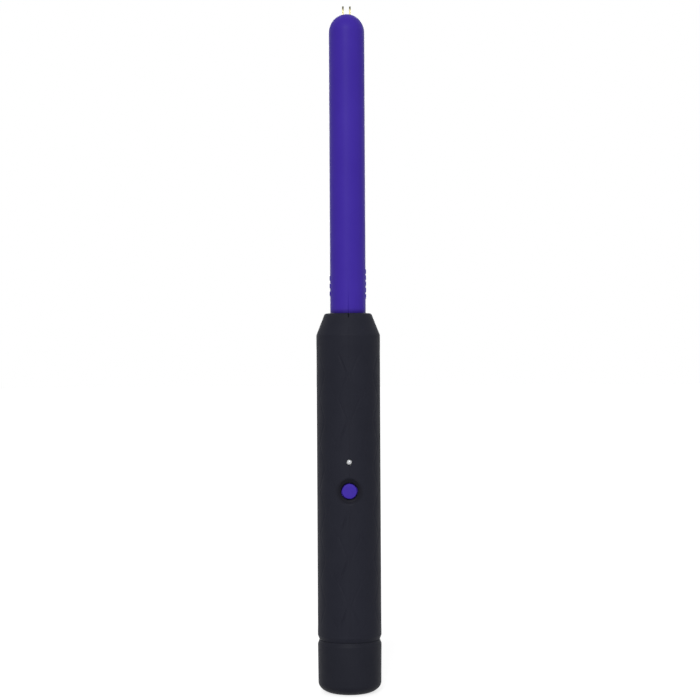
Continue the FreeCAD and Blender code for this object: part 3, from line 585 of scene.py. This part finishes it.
def leaf_relief(angle, height, radius):
    """Eight chains of pointed ovals around the grip, each with a low rim and a groove."""
    outer = (radius > HANDLE - 0.05).astype(float)
    phase = np.mod((CHAIN_TOP - height) / OVAL_HEIGHT, 1.0)
    blunt = math.sqrt(OVAL_BLUNTNESS)
    eased = np.sqrt((2 * phase - 1) ** 2 + OVAL_BLUNTNESS) - blunt
    width = OVAL_HALF_WIDTH * (1 - eased / (math.sqrt(1 + OVAL_BLUNTNESS) - blunt))
    offset = np.abs(np.mod(angle, CHAIN_SPACING) - CHAIN_SPACING / 2)
    outward = (offset - width) * math.radians(1) * HANDLE * LEAN
    spread = np.where(outward < 0, RIDGE_INNER_WIDTH, RIDGE_OUTER_WIDTH)
    ridge = RIDGE_HEIGHT * np.exp(-((outward / spread) ** 2))
    groove = GROOVE_DEPTH * np.exp(-(((outward - GROOVE_OFFSET) / GROOVE_WIDTH) ** 2))
    depth = pressed(angle, height)
    zone = smooth(height, 36.8, 39.8) * (1 - smooth(height, 185.3, 188.8))
    clear = (1 - smooth(np.abs(angle), 22.0, 28.0)) * smooth(height, 99.5, 102.5)
    clear = clear * (1 - smooth(height, 135.0, 139.0))
    sunk = smooth(height, 34.0, 39.0) * (1 - smooth(height, 188.0, 193.0))
    return outer * (-RIDGE_HEIGHT * sunk + (ridge - groove) * depth * zone * (1 - clear))


def handle_seam(radius, height):
    """The seam is a hairline, and opens to a small notch at the shoulder's top."""
    inside = radius < HANDLE_BORE + 0.05 and height < TOP_UNDERSIDE - 0.1
    if inside or radius < TUBE_HOLE + 0.05:
        return 0.0
    return 0.03 + 0.38 * float(smooth(height, 203.0, 206.0))


# Outlines are corners of (radius, height, rounding, spacing of the next run).
HANDLE_LINE = [
    (HANDLE_BORE, HANDLE_BOTTOM, 0.0, None),
    (16.75, HANDLE_BOTTOM, 0.25, None),
    (HANDLE, 31.9, 0.5, 0.34),
    (HANDLE, SHOULDER_FOOT, 2.2, 1.0),
    (12.9, HANDLE_TOP, 1.4, None),
    (TUBE_HOLE, HANDLE_TOP, 0.3, None),
    (TUBE_HOLE, TOP_UNDERSIDE, 0.0, None),
    (11.89, TOP_UNDERSIDE, 0.0, None),
    (HANDLE_BORE, SHOULDER_FOOT, 0.0, None),
]
BUTTON_Z = 112.5
LAMP_Z = 128.4


def front_cutters(side):
    """What the button's flat and bore and the lamp's hole take out of a shell."""
    flat = [
        (0.0, 16.5, 0.0, None),
        (4.7, 16.35, 0.0, None),
        (6.0, 16.6, 0.5, None),
        (7.0, 17.35, 0.3, None),
        (7.9, 17.68, 0.0, None),
        (7.9, 19.0, 0.0, None),
        (0.0, 19.0, 0.0, None),
    ]
    bore = [
        (0.0, 10.0, 0.0, None),
        (4.62, 10.0, 0.0, None),
        (4.62, 16.2, 0.0, None),
        (4.90, 16.5, 0.0, None),
        (4.90, 19.0, 0.0, None),
        (0.0, 19.0, 0.0, None),
    ]
    hole = [
        (0.0, 10.0, 0.0, None),
        (1.6, 10.0, 0.0, None),
        (1.6, 17.4, 0.0, None),
        (1.9, 17.68, 0.0, None),
        (1.9, 19.0, 0.0, None),
        (0.0, 19.0, 0.0, None),
    ]
    return [
        spun(f"cut_flat_{side}", flat, 96, "y", (0, 0, BUTTON_Z)),
        spun(f"cut_bore_{side}", bore, 72, "y", (0, 0, BUTTON_Z)),
        spun(f"cut_hole_{side}", hole, 48, "y", (0, 0, LAMP_Z)),
    ]


SIDES = {"left": -1, "right": 1}
for label, sign in SIDES.items():
    shell = half_shell(
        f"grip_shell_{label}", HANDLE_LINE, sign, 190, handle_seam, 1.8, leaf_relief, 38.0
    )
    carve(shell, *front_cutters(label), sharp=38.0)
    dress(shell, soft_black, "black_shell", "wand", f"handle_shell_{label}")


# Tube

TUBE = 9.85
TUBE_BORE = 8.35
SHOULDER = 365.5
DOME = 10.3
LEFT_BARS = (229.4, 225.2, 220.8)
RIGHT_BARS = (233.1, 229.7, 226.4, 222.9, 219.3)
BAR_HEIGHT = 0.31
TUBE_BOTTOM = 187.0
FLANGE = 13.0
FLANGE_BOTTOM = 190.8
FLANGE_TOP = 192.8
PIN = 0.45
PIN_OFFSET = 1.94
PIN_BOTTOM = 344.8
PIN_TOP = 380.3
COLLAR_BOTTOM = 349.75
COLLAR_TOP = 350.75


def quarter(centre, across, up, start, end, steps):
    """Corners along a stretch of an ellipse, in degrees from its widest point."""
    turns = [math.radians(start + (end - start) * step / steps) for step in range(steps + 1)]
    return [
        (
            max(0.0, centre[0] + across * math.cos(turn)), centre[1] + up * math.sin(turn),
            0.0, None,
        )
        for turn in turns
    ]


def bars(side):
    """Small plain bars that stand out of the tube's side, above the handle."""
    centres = RIGHT_BARS if side > 0 else LEFT_BARS

    def relief(angle, height, radius):
        outer = ((radius > TUBE - 0.01) & (height > 200)).astype(float)
        around = np.abs(np.abs(angle) - 90.0) * math.radians(1) * TUBE
        level = sum(1 - smooth(np.abs(height - centre), 0.95, 1.5) for centre in centres)
        return outer * BAR_HEIGHT * np.clip(level, 0, 1) * (1 - smooth(around, 2.0, 2.6))

    return relief


def tube_seam(radius, height):
    """The seam is tight along the tube and opens a little towards the handle."""
    if radius < TUBE_BORE + 0.05 or height < 200.0:
        return 0.0
    return 0.02 + 0.20 * float(1 - smooth(height, 212.0, 229.0))


TUBE_LINE = [
    (TUBE_BORE, TUBE_BOTTOM, 0.0, None),
    (TUBE, TUBE_BOTTOM, 0.3, None),
    (TUBE, FLANGE_BOTTOM, 0.0, None),
    (FLANGE, FLANGE_BOTTOM, 0.2, None),
    (FLANGE, FLANGE_TOP, 0.2, None),
    (TUBE, FLANGE_TOP, 0.0, 2.0),
    (TUBE, 208.0, 0.0, 0.22),
    (TUBE, 237.0, 0.0, 3.0),
    *quarter((0.0, SHOULDER), TUBE, DOME, 0, 90, 26),
    *quarter((0.0, SHOULDER), TUBE_BORE, DOME - 1.5, 90, 0, 14),
]


def pin_cutter(label, sign):
    """A pin's hole in the dome, which opens into a short slot from front to back."""
    hole = [
        (0.0, -12.0, 0.0, None),
        (0.8, -12.0, 0.0, None),
        (0.8, 2.0, 0.0, None),
        (0.0, 2.0, 0.0, None),
    ]
    cutter = spun(f"cut_pin_{label}", hole, 40, "z", (PIN_OFFSET * sign, 0, SHOULDER + DOME))
    slot_depth = 1.4
    slot_stretch = 2.625
    for corner in cutter.data.vertices:
        if corner.co.z > (SHOULDER + DOME - slot_depth) * MM:
            corner.co.y *= slot_stretch
    return cutter


for label, sign in SIDES.items():
    shell = half_shell(
        f"tube_half_{label}", TUBE_LINE, sign, 130, tube_seam, 1.0, bars(sign), 40.0
    )
    carve(shell, pin_cutter(label, sign), sharp=40.0)
    dress(shell, violet, "violet_shell", "wand", f"tube_shell_{label}")


# Pins

for label, sign in SIDES.items():
    outline_of_pin = [
        (0.0, PIN_BOTTOM, 0.0, None),
        (PIN, PIN_BOTTOM, 0.1, None),
        (PIN, COLLAR_BOTTOM, 0.0, None),
        (0.85, COLLAR_BOTTOM, 0.1, None),
        (0.85, COLLAR_TOP, 0.1, None),
        (PIN, COLLAR_TOP, 0.0, None),
        (PIN, PIN_TOP, 0.3, None),
        (0.0, PIN_TOP, 0.0, None),
    ]
    pin = spun(f"pin_{label}", outline_of_pin, 32, "z", (PIN_OFFSET * sign, 0, 0))
    dress(pin, brass, "contact_brass", "wand", f"contact_pin_{label}")


# End cap and the threads

CAP_TOP = 29.5
CAP_BORE = 16.0
CAP_FLOOR = 3.4
CAP_LINE = [
    (0.0, 0.0, 0.0, None),
    *quarter((8.45, 6.0), 9.0, 6.0, -90, 0, 24),
    (HANDLE, 27.1, 0.5, None),
    (16.75, CAP_TOP, 0.25, None),
    (CAP_BORE, CAP_TOP, 0.2, 3.0),
    (CAP_BORE, CAP_FLOOR, 1.6, None),
    (3.2, CAP_FLOOR, 0.3, None),
    (3.2, 4.7, 0.2, None),
    (1.3, 4.7, 0.0, None),
    (1.3, 1.8, 0.0, None),
    (0.0, 1.8, 0.0, None),
]
cap = spun("cap_shell", CAP_LINE, 160, sharp=38.0)
dress(cap, cap_black, "black_cap", "cap", "end_cap")


def thread(name, root, crest, low, turns, pitch, phase=0.0):
    """A right-handed ridge wound on a round wall, running out at both ends."""
    per_turn = 72
    run_out_steps = 18
    steps = int(turns * per_turn)
    outward = 1 if crest > root else -1
    points = []
    for step in range(steps + 1):
        angle = 2 * math.pi * step / per_turn + phase
        level = low + pitch * step / per_turn
        run_out = min(1.0, step / run_out_steps, (steps - step) / run_out_steps)
        depth = abs(crest - root) * max(run_out, 0.04)
        for reach, rise in (
            (-0.15, -0.62), (0.0, -0.60), (depth, -0.22), (depth, 0.22), (0.0, 0.60), (-0.15, 0.62)
        ):
            radius = root + outward * reach
            points.append((radius * math.cos(angle), radius * math.sin(angle), level + rise))
    faces = [
        (
            step * 6 + edge,
            step * 6 + (edge + 1) % 6,
            (step + 1) * 6 + (edge + 1) % 6,
            (step + 1) * 6 + edge,
        )
        for step in range(steps)
        for edge in range(6)
    ]
    faces.append(tuple(range(6)))
    faces.append(tuple(steps * 6 + edge for edge in reversed(range(6))))
    return piece(name, points, faces, 25.0)


THREAD_START = 20.0
THREAD_TURNS = 2.6
PITCH = 2.0
neck = thread("neck_thread", 15.6, 15.92, THREAD_START, THREAD_TURNS, PITCH)
dress(neck, grey_liner, "grey_liner", "wand")
inner = thread("cap_thread", CAP_BORE, 15.66, THREAD_START, THREAD_TURNS, PITCH, math.pi)
dress(inner, cap_black, "black_cap", "cap")


# Button and lamp

BUTTON = 4.08
LENS = 1.58
BUTTON_LINE = [
    (0.0, 12.5, 0.0, None),
    (5.6, 12.5, 0.2, None),
    (5.6, 13.5, 0.2, None),
    (BUTTON, 13.5, 0.0, None),
    (BUTTON, 17.22, 0.5, None),
    (2.6, 17.28, 0.0, None),
    (0.0, 17.30, 0.0, None),
]
button = spun("push_button", BUTTON_LINE, 96, "y", (0, 0, BUTTON_Z), 38.0)
dress(button, violet_bright, "violet_button", "button", "button_cap")

LENS_LINE = [
    (0.0, 12.35, 0.0, None),
    (1.9, 12.35, 0.1, None),
    (1.9, 13.35, 0.1, None),
    (LENS, 13.35, 0.0, None),
    *quarter((0.0, 16.05), LENS, 1.5, 0, 81, 9),
    (0.0, 17.55, 0.0, None),
]
lamp = spun("lamp_body", LENS_LINE, 48, "y", (0, 0, LAMP_Z), 40.0)
dress(lamp, lamp_lens, "lamp_lens", "wand", "led")

CUP_LINE = [
    (0.0, 14.4, 0.0, None),
    (0.45, 14.4, 0.05, None),
    (1.02, 15.6, 0.05, None),
    (1.2, 15.6, 0.05, None),
    (1.2, 13.6, 0.05, None),
    (0.0, 13.6, 0.0, None),
]
cup = spun("lamp_reflector", CUP_LINE, 40, "y", (0, 0, LAMP_Z))
dress(cup, cup_metal, "steel", "wand")
CHIP_LINE = [
    (0.0, 14.38, 0.0, None), (0.26, 14.38, 0.0, None), (0.26, 14.66, 0.05, None),
    (0.0, 14.66, 0.0, None),
]
die = spun("lamp_die", CHIP_LINE, 24, "y", (0, 0, LAMP_Z))
dress(die, chip, "steel", "wand")


# Stage, light and camera

def seen_directly(tree):
    """1 for the rays that show what is behind, which are those of the view, gloss and glass."""
    path = add(tree, "ShaderNodeLightPath")
    seen = path.outputs["Is Camera Ray"]
    for other in ("Is Glossy Ray", "Is Transmission Ray"):
        both = add(tree, "ShaderNodeMath", {0: seen, 1: path.outputs[other]}, operation="MAXIMUM")
        seen = both.outputs[0]
    return seen


def floor_material():
    """Pale paper, which reads as white where it is open, and keeps the object's shadow."""
    made, tree, shader = blank("floor_paper")
    mottle = noise(tree, 40)
    tree.links.new(
        blend(tree, between(tree, mottle, 0.0, 1.0), colour(196, 196, 196), colour(200, 200, 200)),
        shader.inputs["Base Color"],
    )
    shader.inputs["Roughness"].default_value = 0.9
    shader.inputs["Specular IOR Level"].default_value = 0.0
    shader.inputs["Emission Color"].default_value = colour(255, 255, 255)
    glow = between(tree, seen_directly(tree), 0.0, 0.72, 0.0, 1.0)
    tree.links.new(glow, shader.inputs["Emission Strength"])
    return made


def floor():
    """A wide sheet that the object stands on."""
    reach = 8.0
    mesh = bpy.data.meshes.new("floor")
    mesh.from_pydata(
        [(-reach, -reach, 0), (reach, -reach, 0), (reach, reach, 0), (-reach, reach, 0)],
        [], [(0, 1, 2, 3)],
    )
    made = bpy.data.objects.new("floor", mesh)
    made.data.materials.append(floor_material())
    bpy.context.collection.objects.link(made)


floor()

world = bpy.data.worlds.new("studio")
world.use_nodes = True
bpy.context.scene.world = world
sky = world.node_tree
sky.nodes.clear()
shown = add(sky, "ShaderNodeBackground", Color=(1, 1, 1, 1), Strength=1.0)
lighting = add(sky, "ShaderNodeBackground", Color=(1, 1, 1, 1), Strength=0.33)
chosen = sky.nodes.new("ShaderNodeMixShader")
sky.links.new(seen_directly(sky), chosen.inputs[0])
sky.links.new(lighting.outputs[0], chosen.inputs[1])
sky.links.new(shown.outputs[0], chosen.inputs[2])
add(sky, "ShaderNodeOutputWorld", {"Surface": chosen.outputs[0]})


def lamp_from(name, azimuth, elevation, share, spread):
    """A wide, distant lamp that gives a surface facing it this share of full light."""
    light = bpy.data.lights.new(name, "SUN")
    light.angle = math.radians(spread)
    light.energy = share * math.pi
    made = bpy.data.objects.new(name, light)
    turn, rise = math.radians(azimuth), math.radians(elevation)
    towards = Vector((
        math.sin(turn) * math.cos(rise), -math.cos(turn) * math.cos(rise), math.sin(rise)
    ))
    made.rotation_euler = towards.to_track_quat("Z", "Y").to_euler()
    bpy.context.collection.objects.link(made)


lamp_from("key", -8, 25, 0.58, 18)
lamp_from("fill", 32, 12, 0.10, 60)
lamp_from("back", 180, 12, 0.34, 30)

VIEW_TURN = math.radians(-1.05)
VIEW_ROLL = math.radians(-0.305)
VIEW_DISTANCE = 0.971
VIEW_SIDESTEP = 0.0010
VIEW_HEIGHT = 0.1896

view = bpy.data.cameras.new("view")
view.lens = 90.0
view.sensor_width = 36.0
view.clip_start = 0.01
camera = bpy.data.objects.new("camera", view)
side = Vector((math.cos(VIEW_TURN), math.sin(VIEW_TURN), 0.0))
back = Vector((math.sin(VIEW_TURN), -math.cos(VIEW_TURN), 0.0))
camera.location = (
    back * VIEW_DISTANCE + side * VIEW_SIDESTEP + Vector((0.0, 0.0, VIEW_HEIGHT))
)
camera.rotation_euler = (math.pi / 2, 0.0, VIEW_TURN)
camera.rotation_euler.rotate_axis("Z", VIEW_ROLL)
bpy.context.collection.objects.link(camera)
bpy.context.scene.camera = camera

scene = bpy.context.scene
scene.view_settings.view_transform = "Standard"
